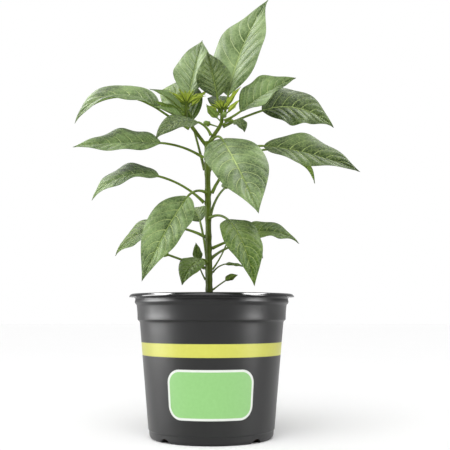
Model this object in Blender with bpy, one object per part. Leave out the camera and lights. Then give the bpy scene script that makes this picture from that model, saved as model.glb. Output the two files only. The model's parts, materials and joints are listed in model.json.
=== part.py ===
"""A young chilli pepper plant in a thin plastic nursery pot.

Metres, +Z up. The origin is the centre of the pot's underside, and -Y is the front.
"""

import math
from collections import namedtuple

import bmesh
import bpy
from mathutils import Matrix, Vector

MM = 0.001
GAP = 0.3 * MM  # clearance between pieces that touch

# Pot, outside, in millimetres
POT_SEGMENTS = 48
WALL = 0.9
FLOOR_THICKNESS = 1.2
POT_HEIGHT = 97.0
FOOT_HEIGHT = 6.0
FOOT_RADIUS = 43.0
STRIPE_TOP, STRIPE_TOP_RADIUS = 64.0, 48.3
LOWER_LEDGE, LOWER_LEDGE_RADIUS = 70.5, 49.4
UPPER_LEDGE, UPPER_LEDGE_RADIUS = 79.2, 50.3
COLLAR_BOTTOM, COLLAR_RADIUS = 90.6, 53.2
COLLAR_TOP = 94.4
LIP_RADIUS = 57.0
LEDGE_STEP = 0.8
LEDGE_FALL = 0.5  # height of the small slope on top of a ledge
FOOT_EDGE = 2.2  # how far inside the foot's radius the flat underside ends
FOOT_SET_IN = 0.7  # how far the foot ring is set in below the wall
COLLAR_FLARE = 0.2
LIP_ROLL = 1.6  # height of the lip's rolled outer edge

# Drainage notches through the foot
NOTCH_COUNT = 4
NOTCH_RADIUS = 5.0
NOTCH_TOP = 3.0
NOTCH_FROM, NOTCH_TO = 37.0, 46.0

# Soil and the root crown that it holds
SOIL_TOP = 86.0
CROWN_DEPTH = 24.0

# Paths of the woody parts, as (x, y, z, radius) in millimetres
STEM_PATH = [
    (-1.5, 0, SOIL_TOP - CROWN_DEPTH, 2.6),
    (-1.5, 0, SOIL_TOP, 2.5),
    (-2.0, 0, 110, 2.2),
    (-2.5, 0, 150, 2.0),
    (-3.5, 0, 205, 1.9),
]
LEFT_BRANCH_PATH = [
    (-3.5, 0, 201, 1.3),
    (-14.0, 0, 215, 1.3),
    (-18.5, 0, 222, 1.2),
    (-18.5, 0, 232, 1.0),
]
RIGHT_BRANCH_PATH = [
    (-3.5, 0, 201, 1.4),
    (1.0, 0, 209, 1.4),
    (5.0, 1, 215, 1.3),
    (7.0, 1, 219, 1.2),
    (7.0, 1, 228, 1.0),
]
PATHS = {"stem": STEM_PATH, "left": LEFT_BRANCH_PATH, "right": RIGHT_BRANCH_PATH}

# Leaves
RING_SIDES = 8
BLADE_THICKNESS = 0.7
WIDEST_AT = 0.38  # how far along the blade it is widest
SHARPNESS = 1.9  # higher values draw the blade in faster at both ends
TIP_HALF_WIDTH = 0.3
FULL_LEAF = 20  # blades this long get a thicker stalk and more sections
FULL_STALK = 0.9

# on: what carries the leaf, at this height. heading: 0 is right, 90 is back, 180 is left.
# stalk and rise: length and first slope of the stalk. blade and width: size of the blade.
# pitch and droop: slope of the blade at its base and at its tip. roll: turn about the midrib.
# fold: how far each half is raised from flat. Lengths in millimetres, angles in degrees.
Leaf = namedtuple("Leaf", "on height heading stalk rise blade width pitch droop roll fold")

LEAVES = {
    # crown
    "leaf_crown_right": Leaf("right", 225, 30, 14, 80, 88, 42, 76, 54, -30, 12),
    "leaf_crown_left": Leaf("left", 230, 77, 10, 65, 68, 30, 60, 50, 0, 20),
    "leaf_crown_centre": Leaf("right", 226, 150, 12, 85, 36, 26, 78, 74, 60, 15),
    "leaf_crown_right_back": Leaf("right", 221, 95, 12, 55, 44, 18, 40, 15, 0, 10),
    # upper tier
    "leaf_upper_left": Leaf("left", 214, 185, 25, 30, 69, 35, 35, -66, 32, 15),
    "leaf_upper_right_back": Leaf("right", 216, 15, 32, 28, 60, 32, 20, -45, -70, 5),
    "leaf_upper_right_front": Leaf("right", 220, -15, 13, 22, 46, 32, 35, 20, -55, 20),
    "leaf_upper_front": Leaf("right", 209, 220, 14, 55, 42, 18, 0, -55, 35, 5),
    "leaf_front_right": Leaf("right", 205, -65, 18, 15, 80, 42, -42, -52, -15, 10),
    # middle tier
    "leaf_middle_left": Leaf("stem", 193, 185, 32, 30, 62, 32, 0, -8, 40, 10),
    "leaf_middle_right": Leaf("stem", 188, -10, 40, 34, 70, 34, -8, -28, -45, 10),
    "leaf_middle_right_back": Leaf("stem", 168, 20, 60, 60, 46, 18, 0, -75, -5, 10),
    "leaf_middle_left_back": Leaf("stem", 185, 135, 40, 70, 52, 30, 70, -5, 50, 10),
    "leaf_middle_back": Leaf("stem", 182, 80, 30, 30, 48, 24, 15, -35, 0, 10),
    "leaf_half_left": Leaf("stem", 161, 185, 37, 42, 53, 32, 10, -58, 30, 10),
    "leaf_front_left": Leaf("stem", 168, 235, 22, 5, 76, 30, -45, -60, 25, 15),
    # lower tier
    "leaf_inner_right": Leaf("stem", 153, 60, 30, 60, 24, 13, 25, 0, 0, 10),
    "leaf_low_front_right": Leaf("stem", 150, -64, 29, 5, 61, 26, -30, -75, -10, 10),
    "leaf_low_left_back": Leaf("stem", 137, 160, 34, 25, 44, 26, -5, -55, 45, 5),
    "leaf_low_right_back": Leaf("stem", 129, 15, 25, 25, 44, 21, 20, -40, -40, 10),
    "leaf_inner_back": Leaf("stem", 122, 50, 28, 30, 36, 18, 10, -40, 0, 10),
    "leaf_inner_left_back": Leaf("stem", 118, 110, 36, 70, 26, 16, 50, 0, 30, 5),
    "leaf_low_left": Leaf("stem", 119, 240, 8, 25, 31, 17, -15, -65, 20, 10),
    "leaf_inner_left": Leaf("stem", 115, 175, 27, 20, 22, 12, 20, 30, -40, 10),
    # small leaves near the foot of the stem
    "small_leaf_upright": Leaf("stem", 107, 150, 14, 60, 14, 8, 80, 85, 25, 5),
    "small_leaf_thin_right": Leaf("stem", 112, 10, 11, 45, 15, 7, 0, -20, -20, 5),
    "small_leaf_hidden_right": Leaf("stem", 114, -25, 24, 55, 11, 7, 75, 85, 30, 5),
    "small_leaf_side_shoot": Leaf("stem", 100, -20, 11, 35, 10, 6, 30, 15, 40, 10),
    # young leaves at the left tip
    "young_leaf_left_long": Leaf("left", 227, 195, 2, 45, 27, 12, 45, 10, -5, 10),
    "young_leaf_left_thin": Leaf("left", 224, 205, 2, 15, 22, 8, 15, 25, -15, 15),
    "young_leaf_left_low": Leaf("left", 221, 218, 3, 15, 23, 11, 14, 8, 5, 20),
    "young_leaf_left_point": Leaf("left", 229, 25, 3, 45, 19, 8, 45, 45, 30, 10),
    # young leaves at the right tip
    "young_leaf_right_point": Leaf("right", 226, -20, 4, 70, 18, 8, 55, 50, 0, 10),
    "young_leaf_right_thin": Leaf("right", 223, 0, 4, 60, 13, 5, 45, 50, 30, 10),
    "young_leaf_right_spike": Leaf("right", 224, 190, 3, 60, 9, 4, 45, 0, -20, 5),
    "young_leaf_right_left": Leaf("right", 220, 220, 3, 30, 13, 7, 30, 55, -15, 5),
    "young_leaf_right_curled": Leaf("right", 217, -40, 11, 15, 14, 10, -20, -80, -30, 10),
}

# Growing tips and flower buds: what carries it, height, heading, stalk, rise, length, radius
Bud = namedtuple("Bud", "on height heading stalk rise length radius")

BUDS = {
    "flower_bud_left": Bud("right", 216, 165, 6, 20, 5, 1.8),
    "flower_bud_front": Bud("right", 221, -80, 5, 10, 5, 1.8),
    "flower_bud_right": Bud("right", 221, 40, 5, 5, 4, 1.5),
}
TIPS = {"growing_tip_left": "left", "growing_tip_right": "right"}
TIP_LENGTH = 6.0
TIP_RADIUS = 1.8
THIN_STALK = 0.5
BUD_ANGLES = (20, 50, 80, 110, 140, 165)  # where the rings of a bud lie on its half circle


def clear_scene():
    for obj in list(bpy.data.objects):
        bpy.data.objects.remove(obj, do_unlink=True)


def make_material(name, color, roughness, metallic=0.0):
    material = bpy.data.materials.new(name)
    material.use_nodes = True
    shader = material.node_tree.nodes["Principled BSDF"]
    shader.inputs["Base Color"].default_value = (*color, 1.0)
    shader.inputs["Roughness"].default_value = roughness
    shader.inputs["Metallic"].default_value = metallic
    return material


def finish(bm, name, material):
    """Turns a bmesh in millimetres into a smooth object in metres."""
    bmesh.ops.scale(bm, vec=(MM, MM, MM), verts=bm.verts)
    bmesh.ops.recalc_face_normals(bm, faces=bm.faces)
    mesh = bpy.data.meshes.new(name)
    bm.to_mesh(mesh)
    bm.free()
    mesh.shade_smooth()
    mesh.set_sharp_from_angle(angle=math.radians(40))
    mesh.materials.append(material)
    obj = bpy.data.objects.new(name, mesh)
    bpy.context.scene.collection.objects.link(obj)
    return obj


def hide_helper(obj):
    obj.hide_render = True
    obj.display_type = "WIRE"


def add_boolean(obj, helper, operation):
    modifier = obj.modifiers.new(helper.name, "BOOLEAN")
    modifier.object = helper
    modifier.operation = operation
    modifier.solver = "EXACT"
    hide_helper(helper)


def turned(profile, name, material):
    """A solid of revolution about Z from a closed profile of (radius, height)."""
    bm = bmesh.new()
    verts = [bm.verts.new((radius, 0, height)) for radius, height in profile]
    edges = [bm.edges.new(pair) for pair in zip(verts, verts[1:])]
    if profile[0][0] > 0:
        edges.append(bm.edges.new((verts[-1], verts[0])))
    bmesh.ops.spin(
        bm, geom=verts + edges, cent=(0, 0, 0), axis=(0, 0, 1),
        angle=math.tau, steps=POT_SEGMENTS, use_merge=True,
    )
    bmesh.ops.remove_doubles(bm, verts=bm.verts, dist=0.001)
    return finish(bm, name, material)


def loft(sections, name, material):
    """A closed solid through rings of points, all with the same number of points."""
    bm = bmesh.new()
    end = bm.faces.new([bm.verts.new(point) for point in sections[0]])
    for section in sections[1:]:
        end = bmesh.ops.extrude_discrete_faces(bm, faces=[end])["faces"][0]
        for vert, point in zip(end.verts, section):
            vert.co = point
    bmesh.ops.holes_fill(bm, edges=[edge for edge in bm.edges if edge.is_boundary])
    return finish(bm, name, material)


def wall_radius(height):
    """Outer radius of the pot's wall below the collar, ledges left out."""
    corners = [
        (FOOT_HEIGHT, FOOT_RADIUS),
        (STRIPE_TOP, STRIPE_TOP_RADIUS),
        (LOWER_LEDGE, LOWER_LEDGE_RADIUS),
        (UPPER_LEDGE, UPPER_LEDGE_RADIUS),
        (COLLAR_BOTTOM, COLLAR_RADIUS - LEDGE_STEP),
    ]
    for (low, inner), (high, outer) in zip(corners, corners[1:]):
        if height <= high:
            part = max(0.0, (height - low) / (high - low))
            return inner + part * (outer - inner)
    return COLLAR_RADIUS


def pot_profile():
    """Closed outline of the pot's shell, up the outside and down the inside."""
    collar_outer = COLLAR_RADIUS + COLLAR_FLARE
    outside = [
        (0, 0),
        (FOOT_RADIUS - FOOT_EDGE, 0),
        (FOOT_RADIUS - FOOT_EDGE / 2, WALL),
        (FOOT_RADIUS - FOOT_SET_IN, NOTCH_TOP),
        (FOOT_RADIUS, FOOT_HEIGHT),
        (STRIPE_TOP_RADIUS, STRIPE_TOP),
        (LOWER_LEDGE_RADIUS, LOWER_LEDGE),
        (UPPER_LEDGE_RADIUS, UPPER_LEDGE),
        (UPPER_LEDGE_RADIUS + LEDGE_STEP, UPPER_LEDGE + LEDGE_FALL),
        (COLLAR_RADIUS - LEDGE_STEP, COLLAR_BOTTOM),
        (COLLAR_RADIUS, COLLAR_BOTTOM + LEDGE_FALL),
        (collar_outer, COLLAR_TOP),
    ]
    lip = [
        (LIP_RADIUS - LIP_ROLL, COLLAR_TOP + LEDGE_FALL),
        (LIP_RADIUS - LIP_ROLL / 2, COLLAR_TOP - LEDGE_FALL),
        (LIP_RADIUS, COLLAR_TOP - COLLAR_FLARE),
        (LIP_RADIUS, POT_HEIGHT - LIP_ROLL),
        (LIP_RADIUS - LIP_ROLL / 2, POT_HEIGHT - LEDGE_FALL),
        (LIP_RADIUS - 1.5 * LIP_ROLL, POT_HEIGHT),
        (COLLAR_RADIUS, POT_HEIGHT - LEDGE_FALL),
    ]
    inside = [
        (collar_outer - WALL, COLLAR_TOP),
        (COLLAR_RADIUS - WALL, COLLAR_BOTTOM + LEDGE_FALL),
        (COLLAR_RADIUS - LEDGE_STEP - WALL, COLLAR_BOTTOM),
        (UPPER_LEDGE_RADIUS + LEDGE_STEP - WALL, UPPER_LEDGE + LEDGE_FALL),
        (UPPER_LEDGE_RADIUS - WALL, UPPER_LEDGE),
        (LOWER_LEDGE_RADIUS - WALL, LOWER_LEDGE),
        (STRIPE_TOP_RADIUS - WALL, STRIPE_TOP),
        (FOOT_RADIUS - WALL, FOOT_HEIGHT),
        (FOOT_RADIUS - FOOT_SET_IN - WALL, NOTCH_TOP),
        (FOOT_RADIUS - FOOT_SET_IN - 2 * WALL, FLOOR_THICKNESS),
        (0, FLOOR_THICKNESS),
    ]
    return outside + lip + inside


def cylinder(name, radius, length, matrix, material):
    bm = bmesh.new()
    bmesh.ops.create_cone(
        bm, cap_ends=True, segments=24, radius1=radius, radius2=radius,
        depth=length, matrix=matrix,
    )
    return finish(bm, name, material)


def make_pot(material):
    pot = turned(pot_profile(), "pot", material)
    middle = (NOTCH_FROM + NOTCH_TO) / 2
    for number in range(NOTCH_COUNT):
        turn = Matrix.Rotation(math.tau * (number + 0.5) / NOTCH_COUNT, 4, "Z")
        place = Matrix.Translation((middle, 0, NOTCH_TOP - NOTCH_RADIUS))
        lay_down = Matrix.Rotation(math.pi / 2, 4, "Y")
        cutter = cylinder(
            f"notch_cutter_{number + 1}", NOTCH_RADIUS, NOTCH_TO - NOTCH_FROM,
            turn @ place @ lay_down, material,
        )
        add_boolean(pot, cutter, "DIFFERENCE")
    return pot


def make_soil(material):
    clearance = WALL + GAP / MM
    bottom = FLOOR_THICKNESS + GAP / MM
    heights = [FOOT_HEIGHT, STRIPE_TOP, LOWER_LEDGE, UPPER_LEDGE, SOIL_TOP - 1.0]
    profile = [(0, bottom), (FOOT_RADIUS - 2.0 - clearance, bottom)]
    profile += [(wall_radius(height) - clearance, height) for height in heights]
    profile += [(wall_radius(SOIL_TOP) - clearance - 1.0, SOIL_TOP), (0, SOIL_TOP + 1.0)]
    soil = turned(profile, "potting_soil", material)
    x, y, foot, radius = STEM_PATH[0]
    length = CROWN_DEPTH + 10
    place = Matrix.Translation((x, y, foot - GAP / MM + length / 2))
    socket = cylinder("crown_socket", radius + GAP / MM + 0.1, length, place, material)
    add_boolean(soil, socket, "DIFFERENCE")
    return soil


def at_height(path, height):
    """(point, radius, direction) of a path at a height, held at its ends."""
    for lower, upper in zip(path, path[1:]):
        if height <= upper[2]:
            break
    part = min(1.0, max(0.0, (height - lower[2]) / (upper[2] - lower[2])))
    mixed = [a + part * (b - a) for a, b in zip(lower, upper)]
    direction = (Vector(upper[:3]) - Vector(lower[:3])).normalized()
    return Vector(mixed[:3]), mixed[3], direction


def ring(centre, side, normal, half_width, half_depth, fold=0.0):
    """One section: an ellipse whose sides are raised along the normal by the fold."""
    points = []
    for number in range(RING_SIDES):
        angle = math.tau * number / RING_SIDES
        across = math.cos(angle) * half_width
        lift = math.sin(angle) * half_depth + abs(across) * math.sin(fold)
        points.append(centre + side * (across * math.cos(fold)) + normal * lift)
    return points


def frame_at(heading, slope, roll=0.0):
    """Forward, side and normal of a stalk or a midrib that points this way."""
    forward = Vector((
        math.cos(slope) * math.cos(heading),
        math.cos(slope) * math.sin(heading),
        math.sin(slope),
    ))
    flat_side = Vector((math.sin(heading), -math.cos(heading), 0))
    flat_normal = flat_side.cross(forward)
    side = flat_side * math.cos(roll) + flat_normal * math.sin(roll)
    return forward, side, side.cross(forward)


def woody_sections(path):
    """Round sections along a stem or a branch, each square to the path there."""
    points = [Vector(stop[:3]) for stop in path]
    sections = []
    for number, point in enumerate(points):
        before = points[max(0, number - 1)]
        after = points[min(len(points) - 1, number + 1)]
        forward = (after - before).normalized()
        side = Vector((0, 1, 0)).cross(forward).normalized()
        radius = path[number][3]
        sections.append(ring(point, side, side.cross(forward), radius, radius))
    return sections


def make_stem(material):
    stem = loft(woody_sections(STEM_PATH), "stem", material)
    for side in ("left", "right"):
        branch = loft(woody_sections(PATHS[side]), f"{side}_branch_helper", material)
        add_boolean(stem, branch, "UNION")
    return stem


def stalk_start(item, heading, rise, radius):
    """Where a stalk begins: just clear of the surface of what carries it."""
    point, carrier_radius, carrier_way = at_height(PATHS[item.on], item.height)
    outward = Vector((math.cos(heading), math.sin(heading), 0))
    forward = frame_at(heading, rise)[0]
    clearance = carrier_radius + GAP / MM + radius * abs(forward.dot(carrier_way))
    return point + outward * (clearance / outward.cross(carrier_way).length)


def blade_share(along):
    """Half width at a place along the blade, as a share of the widest."""
    near = SHARPNESS * WIDEST_AT
    far = SHARPNESS - near
    peak = WIDEST_AT**near * (1 - WIDEST_AT) ** far
    return along**near * (1 - along) ** far / peak


def leaf_sections(leaf):
    full = leaf.blade >= FULL_LEAF
    stalk_steps, blade_steps = (4, 10) if full else (2, 7)
    stalk_radius = FULL_STALK if full else THIN_STALK
    heading, rise = math.radians(leaf.heading), math.radians(leaf.rise)
    pitch, droop = math.radians(leaf.pitch), math.radians(leaf.droop)
    roll, fold = math.radians(leaf.roll), math.radians(leaf.fold)
    point = stalk_start(leaf, heading, rise, stalk_radius)
    sections = []
    for step in range(stalk_steps):
        slope = rise + (pitch - rise) * step / stalk_steps
        forward, side, normal = frame_at(heading, slope, roll * step / stalk_steps)
        sections.append(ring(point, side, normal, stalk_radius, stalk_radius))
        point = point + forward * (leaf.stalk / stalk_steps)
    for step in range(blade_steps + 1):
        along = step / blade_steps
        forward, side, normal = frame_at(heading, pitch + (droop - pitch) * along, roll)
        narrowest = stalk_radius if step < blade_steps / 2 else TIP_HALF_WIDTH
        half_width = max(narrowest, leaf.width / 2 * blade_share(along))
        depth = BLADE_THICKNESS / 2 if step < blade_steps else TIP_HALF_WIDTH / 2
        flat = fold if 0 < step < blade_steps else 0.0
        sections.append(ring(point, side, normal, half_width, depth, flat))
        point = point + forward * (leaf.blade / blade_steps)
    return sections


def bud_sections(start, heading, rise, stalk, length, radius):
    """A thin stalk that swells into a rounded, closed bud."""
    forward, side, normal = frame_at(heading, rise)
    sections = [ring(start, side, normal, THIN_STALK, THIN_STALK)]
    for angle in BUD_ANGLES:
        turn = math.radians(angle)
        centre = start + forward * (stalk + length / 2 * (1 - math.cos(turn)))
        size = radius * math.sin(turn)
        sections.append(ring(centre, side, normal, size, size))
    return sections


def make_buds(material):
    for name, bud in BUDS.items():
        heading, rise = math.radians(bud.heading), math.radians(bud.rise)
        start = stalk_start(bud, heading, rise, THIN_STALK)
        sections = bud_sections(start, heading, rise, bud.stalk, bud.length, bud.radius)
        loft(sections, name, material)
    for name, side in TIPS.items():
        x, y, z, _ = PATHS[side][-1]
        start = Vector((x, y, z + GAP / MM))
        loft(bud_sections(start, 0, math.pi / 2, GAP / MM, TIP_LENGTH, TIP_RADIUS), name, material)


def main():
    clear_scene()
    make_pot(make_material("black_pot_plastic", (0.018, 0.018, 0.019), 0.38))
    make_soil(make_material("potting_mix", (0.05, 0.032, 0.02), 0.95))
    make_stem(make_material("green_stem", (0.13, 0.19, 0.045), 0.55))
    leaf_green = make_material("leaf_green", (0.10, 0.19, 0.07), 0.5)
    young_green = make_material("young_leaf_green", (0.22, 0.33, 0.07), 0.5)
    for name, leaf in LEAVES.items():
        young = name.startswith(("young", "small"))
        loft(leaf_sections(leaf), name, young_green if young else leaf_green)
    make_buds(young_green)


main()
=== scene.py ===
"""Looks of a young chilli pepper plant in a black nursery pot. Metres, +Z up, -Y is the front."""

import json
import math
import random
from collections import namedtuple

import bmesh
import bpy
from mathutils import Matrix, Vector, noise


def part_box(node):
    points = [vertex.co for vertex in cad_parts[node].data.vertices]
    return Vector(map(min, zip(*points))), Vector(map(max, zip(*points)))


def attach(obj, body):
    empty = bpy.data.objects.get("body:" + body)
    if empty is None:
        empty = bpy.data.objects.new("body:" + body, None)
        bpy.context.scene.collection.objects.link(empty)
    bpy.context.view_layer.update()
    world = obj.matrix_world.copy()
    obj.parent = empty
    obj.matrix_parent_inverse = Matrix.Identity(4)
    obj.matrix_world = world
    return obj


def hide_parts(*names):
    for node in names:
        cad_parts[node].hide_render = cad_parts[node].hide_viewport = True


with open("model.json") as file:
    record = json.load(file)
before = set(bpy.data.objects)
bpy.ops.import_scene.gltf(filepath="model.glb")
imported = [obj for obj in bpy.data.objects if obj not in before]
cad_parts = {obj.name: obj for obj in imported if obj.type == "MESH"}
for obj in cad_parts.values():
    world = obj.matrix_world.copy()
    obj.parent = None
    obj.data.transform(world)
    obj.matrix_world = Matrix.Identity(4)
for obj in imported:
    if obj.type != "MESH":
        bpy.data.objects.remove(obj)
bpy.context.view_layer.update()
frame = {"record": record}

MM = 0.001

# Pot, in millimetres, at the frame's own sizes
POT_STEPS = 144
POT_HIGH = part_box("pot")[1] / MM
POT_HEIGHT = POT_HIGH[2]
LIP_RADIUS = POT_HIGH[0]
WALL = 0.9
FLOOR_THICKNESS = 1.2
FOOT_HEIGHT, FOOT_RADIUS = 6.0, 43.0
STRIPE_BOTTOM, STRIPE_TOP, STRIPE_TOP_RADIUS = 55.6, 64.2, 48.3
LOWER_LEDGE, LOWER_LEDGE_RADIUS = 70.5, 49.4
UPPER_LEDGE, UPPER_LEDGE_RADIUS = 79.2, 50.3
COLLAR_BOTTOM, COLLAR_RADIUS, COLLAR_TOP = 90.6, 53.2, 94.4
LEDGE_STEP = 0.8
NOTCH_COUNT, NOTCH_RADIUS, NOTCH_TOP = 4, 5.0, 3.0
NOTCH_FROM, NOTCH_TO = 37.0, 46.0

# Blank printed panel on the front of the pot: centre height, half width, half height, corner, border
PANEL = (32.0, 29.0, 16.0, 9.0, 1.5)
PANEL_RADIUS = FOOT_RADIUS * 1.05
PRINT_DEPTH = 0.4

# Pot colours: the plastic, the band and the panel's field each vary between two, the border is one
PLASTIC = ((0.006, 0.006, 0.0063), (0.013, 0.013, 0.0135))
BAND_INK = ((0.57, 0.57, 0.085), (0.62, 0.62, 0.110))
BORDER_INK = (0.72, 0.75, 0.70)
FIELD_INK = ((0.25, 0.52, 0.175), (0.29, 0.57, 0.21))

# Soil: its level, the rings of its top, its lumps as (bumps per millimetre, height), and what lies on it
SOIL_TOP = 86.0
SOIL_RINGS = 30
SOIL_LUMPS = [(0.09, 1.4), (0.33, 0.8), (1.1, 0.35)]
CRUMBS = 900
CRUMB_SEED = 7
PALE_EVERY = 9

# Soil finishes: dark, light, grains per metre
SOILS = {
    "potting_mix": ((0.018, 0.011, 0.007), (0.075, 0.048, 0.030), 260.0),
    "bark_crumbs": ((0.030, 0.017, 0.009), (0.150, 0.090, 0.050), 500.0),
    "pale_grit": ((0.42, 0.40, 0.36), (0.78, 0.76, 0.72), 700.0),
}

# Paths of the woody parts, as (x, y, z, radius) in millimetres
STEM_PATH = [
    (-1.5, 0, 62, 2.6), (-1.5, 0, 86, 2.5), (-2.0, 0, 110, 2.2), (-2.5, 0, 150, 2.0), (-3.5, 0, 205, 1.9),
]
LEFT_PATH = [(-3.5, 0, 201, 1.3), (-14.0, 0, 215, 1.3), (-18.5, 0, 222, 1.2), (-18.5, 0, 232, 1.0)]
RIGHT_PATH = [
    (-3.5, 0, 201, 1.4), (1.0, 0, 209, 1.4), (5.0, 1, 215, 1.3), (7.0, 1, 219, 1.2), (7.0, 1, 228, 1.0),
]
PATHS = {"stem": STEM_PATH, "left": LEFT_PATH, "right": RIGHT_PATH}
JOINT_SWELL, JOINT_REACH = 0.15, 2.4
STEM_STEP, STEM_SIDES, STEM_VOXEL = 0.7, 20, 0.38

# Woody finishes: green, brown, and how far brown shows
WOODS = {
    "green_stem": ((0.062, 0.095, 0.008), (0.030, 0.034, 0.005), 0.35),
    "leaf_stalk": ((0.100, 0.150, 0.022), (0.055, 0.072, 0.012), 0.15),
    "closed_bud": ((0.120, 0.180, 0.040), (0.200, 0.250, 0.090), 0.35),
}

# Shape shared by all blades. Thickness, groove, tip, midrib and touch are in millimetres.
# The rest are shares of the blade's length or half width.
WIDEST_AT = 0.38
SHARPNESS = {"crown": 2.5, "upper": 2.1, "shade": 2.1, "lower": 2.1, "young": 2.2}
BLADE_THICKNESS = 0.25
TIP_HALF = 0.12
ARCH = 0.08
GROOVE, GROOVE_WIDTH = 0.28, 0.9
MIDRIB_DEPTH, MIDRIB_END = 0.24, 0.93
QUILT = 0.025
SIDE_VEINS = 8
VEIN_SWEEP, VEIN_CURVE = 0.26, 1.3
WAVE_COUNTS, WAVE_SIZES = (1.6, 2.8), (0.06, 0.13)
TOUCH = 0.3
BLADE_UV = "BladeUV"

# How finely a leaf is made, how far its bends lag behind its angles, and its stalk's radius where it
# starts, at its foot and at its thin end. Blades from FULL_LEAF millimetres on are made finer.
Build = namedtuple("Build", "stalk_steps blade_steps columns sides stalk_lag blade_lag start foot thin")
FULL_BUILD = Build(10, 56, 28, 10, 0.125, 0.05, 0.9, 1.30, 0.82)
SMALL_BUILD = Build(6, 28, 14, 8, 0.25, 0.07, 0.5, 0.75, 0.50)
TIP_BUILD = SMALL_BUILD._replace(stalk_steps=2, blade_steps=12, columns=6, sides=5)
FULL_LEAF = 20

# What carries the leaf, the height of its foot, its heading, stalk length, rise of the stalk, blade
# length and width, slope of the blade at its base (pitch) and tip (droop), its roll and fold.
# Lengths are in millimetres and angles in degrees. The look is the finish that it takes.
Leaf = namedtuple("Leaf", "on height heading stalk rise blade width pitch droop roll fold look")

LEAVES = {
    "leaf_crown_right": Leaf("right", 225, 30, 14, 80, 88, 42, 76, 54, -30, 12, "crown"),
    "leaf_crown_left": Leaf("left", 230, 77, 10, 65, 68, 30, 60, 50, 0, 20, "crown"),
    "leaf_crown_centre": Leaf("right", 226, 150, 12, 85, 36, 26, 78, 74, 60, 15, "shade"),
    "leaf_crown_right_back": Leaf("right", 221, 95, 12, 55, 44, 18, 40, 15, 0, 10, "upper"),
    "leaf_upper_left": Leaf("left", 214, 185, 25, 30, 69, 35, 35, -66, 32, 15, "upper"),
    "leaf_upper_right_back": Leaf("right", 216, 15, 32, 28, 60, 32, 20, -45, -70, 5, "shade"),
    "leaf_upper_right_front": Leaf("right", 220, -15, 13, 22, 46, 32, 35, 20, -55, 20, "upper"),
    "leaf_upper_front": Leaf("right", 209, 220, 14, 55, 42, 18, 0, -55, 35, 5, "shade"),
    "leaf_front_right": Leaf("right", 205, -65, 18, 15, 80, 42, -42, -52, -15, 10, "upper"),
    "leaf_middle_left": Leaf("stem", 193, 185, 32, 30, 62, 32, 0, -8, 40, 10, "upper"),
    "leaf_middle_right": Leaf("stem", 188, -10, 40, 34, 70, 34, -8, -28, -45, 10, "shade"),
    "leaf_middle_right_back": Leaf("stem", 168, 20, 60, 60, 46, 18, 0, -75, -5, 10, "lower"),
    "leaf_middle_left_back": Leaf("stem", 185, 135, 40, 70, 52, 30, 70, -5, 50, 10, "lower"),
    "leaf_middle_back": Leaf("stem", 182, 80, 30, 30, 48, 24, 15, -35, 0, 10, "upper"),
    "leaf_half_left": Leaf("stem", 161, 185, 37, 42, 53, 32, 10, -58, 30, 10, "upper"),
    "leaf_front_left": Leaf("stem", 168, 235, 22, 5, 76, 30, -45, -60, 25, 15, "upper"),
    "leaf_inner_right": Leaf("stem", 153, 60, 30, 60, 24, 13, 25, 0, 0, 10, "lower"),
    "leaf_low_front_right": Leaf("stem", 150, -64, 29, 5, 61, 26, -30, -75, -10, 10, "lower"),
    "leaf_low_left_back": Leaf("stem", 137, 160, 34, 25, 44, 26, -5, -55, 45, 5, "lower"),
    "leaf_low_right_back": Leaf("stem", 129, 15, 25, 25, 44, 21, 20, -40, -40, 10, "lower"),
    "leaf_inner_back": Leaf("stem", 122, 50, 28, 30, 36, 18, 10, -40, 0, 10, "lower"),
    "leaf_inner_left_back": Leaf("stem", 118, 110, 36, 70, 26, 16, 50, 0, 30, 5, "lower"),
    "leaf_low_left": Leaf("stem", 119, 240, 8, 25, 31, 17, -15, -65, 20, 10, "lower"),
    "leaf_inner_left": Leaf("stem", 115, 175, 27, 20, 22, 12, 20, 30, -40, 10, "lower"),
    "small_leaf_upright": Leaf("stem", 107, 150, 14, 60, 14, 8, 80, 85, 25, 5, "lower"),
    "small_leaf_thin_right": Leaf("stem", 112, 10, 11, 45, 15, 7, 0, -20, -20, 5, "lower"),
    "small_leaf_hidden_right": Leaf("stem", 114, -25, 24, 55, 11, 7, 75, 85, 30, 5, "lower"),
    "small_leaf_side_shoot": Leaf("stem", 100, -20, 11, 35, 10, 6, 30, 15, 40, 10, "lower"),
    "young_leaf_left_long": Leaf("left", 227, 195, 2, 45, 27, 12, 45, 10, -5, 10, "crown"),
    "young_leaf_left_thin": Leaf("left", 224, 205, 2, 15, 22, 8, 15, 25, -15, 15, "lower"),
    "young_leaf_left_low": Leaf("left", 221, 218, 3, 15, 23, 11, 14, 8, 5, 20, "upper"),
    "young_leaf_left_point": Leaf("left", 229, 25, 3, 45, 19, 8, 45, 45, 30, 10, "young"),
    "young_leaf_right_point": Leaf("right", 226, -20, 4, 70, 18, 8, 55, 50, 0, 10, "young"),
    "young_leaf_right_thin": Leaf("right", 223, 0, 4, 60, 13, 5, 45, 50, 30, 10, "young"),
    "young_leaf_right_spike": Leaf("right", 224, 190, 3, 60, 9, 4, 45, 0, -20, 5, "young"),
    "young_leaf_right_left": Leaf("right", 220, 220, 3, 30, 13, 7, 30, 55, -15, 5, "lower"),
    "young_leaf_right_curled": Leaf("right", 217, -40, 11, 15, 14, 10, -20, -80, -30, 10, "shade"),
}
YOUNG_NODES = {
    item["node"] for item in frame["record"]["subparts"] if item["material_slot"] == "young_leaf"
}

# Flower buds: what carries the bud, height, heading, stalk length, rise, bud length and radius
Bud = namedtuple("Bud", "on height heading stalk rise length radius")
BUDS = {
    "flower_bud_left": Bud("right", 216, 165, 6, 20, 5, 1.8),
    "flower_bud_front": Bud("right", 221, -80, 5, 10, 5, 1.8),
    "flower_bud_right": Bud("right", 221, 40, 5, 5, 4, 1.5),
}
BUD_STALK_STEPS, BUD_STALK_RADIUS = 4, 0.5
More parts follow.
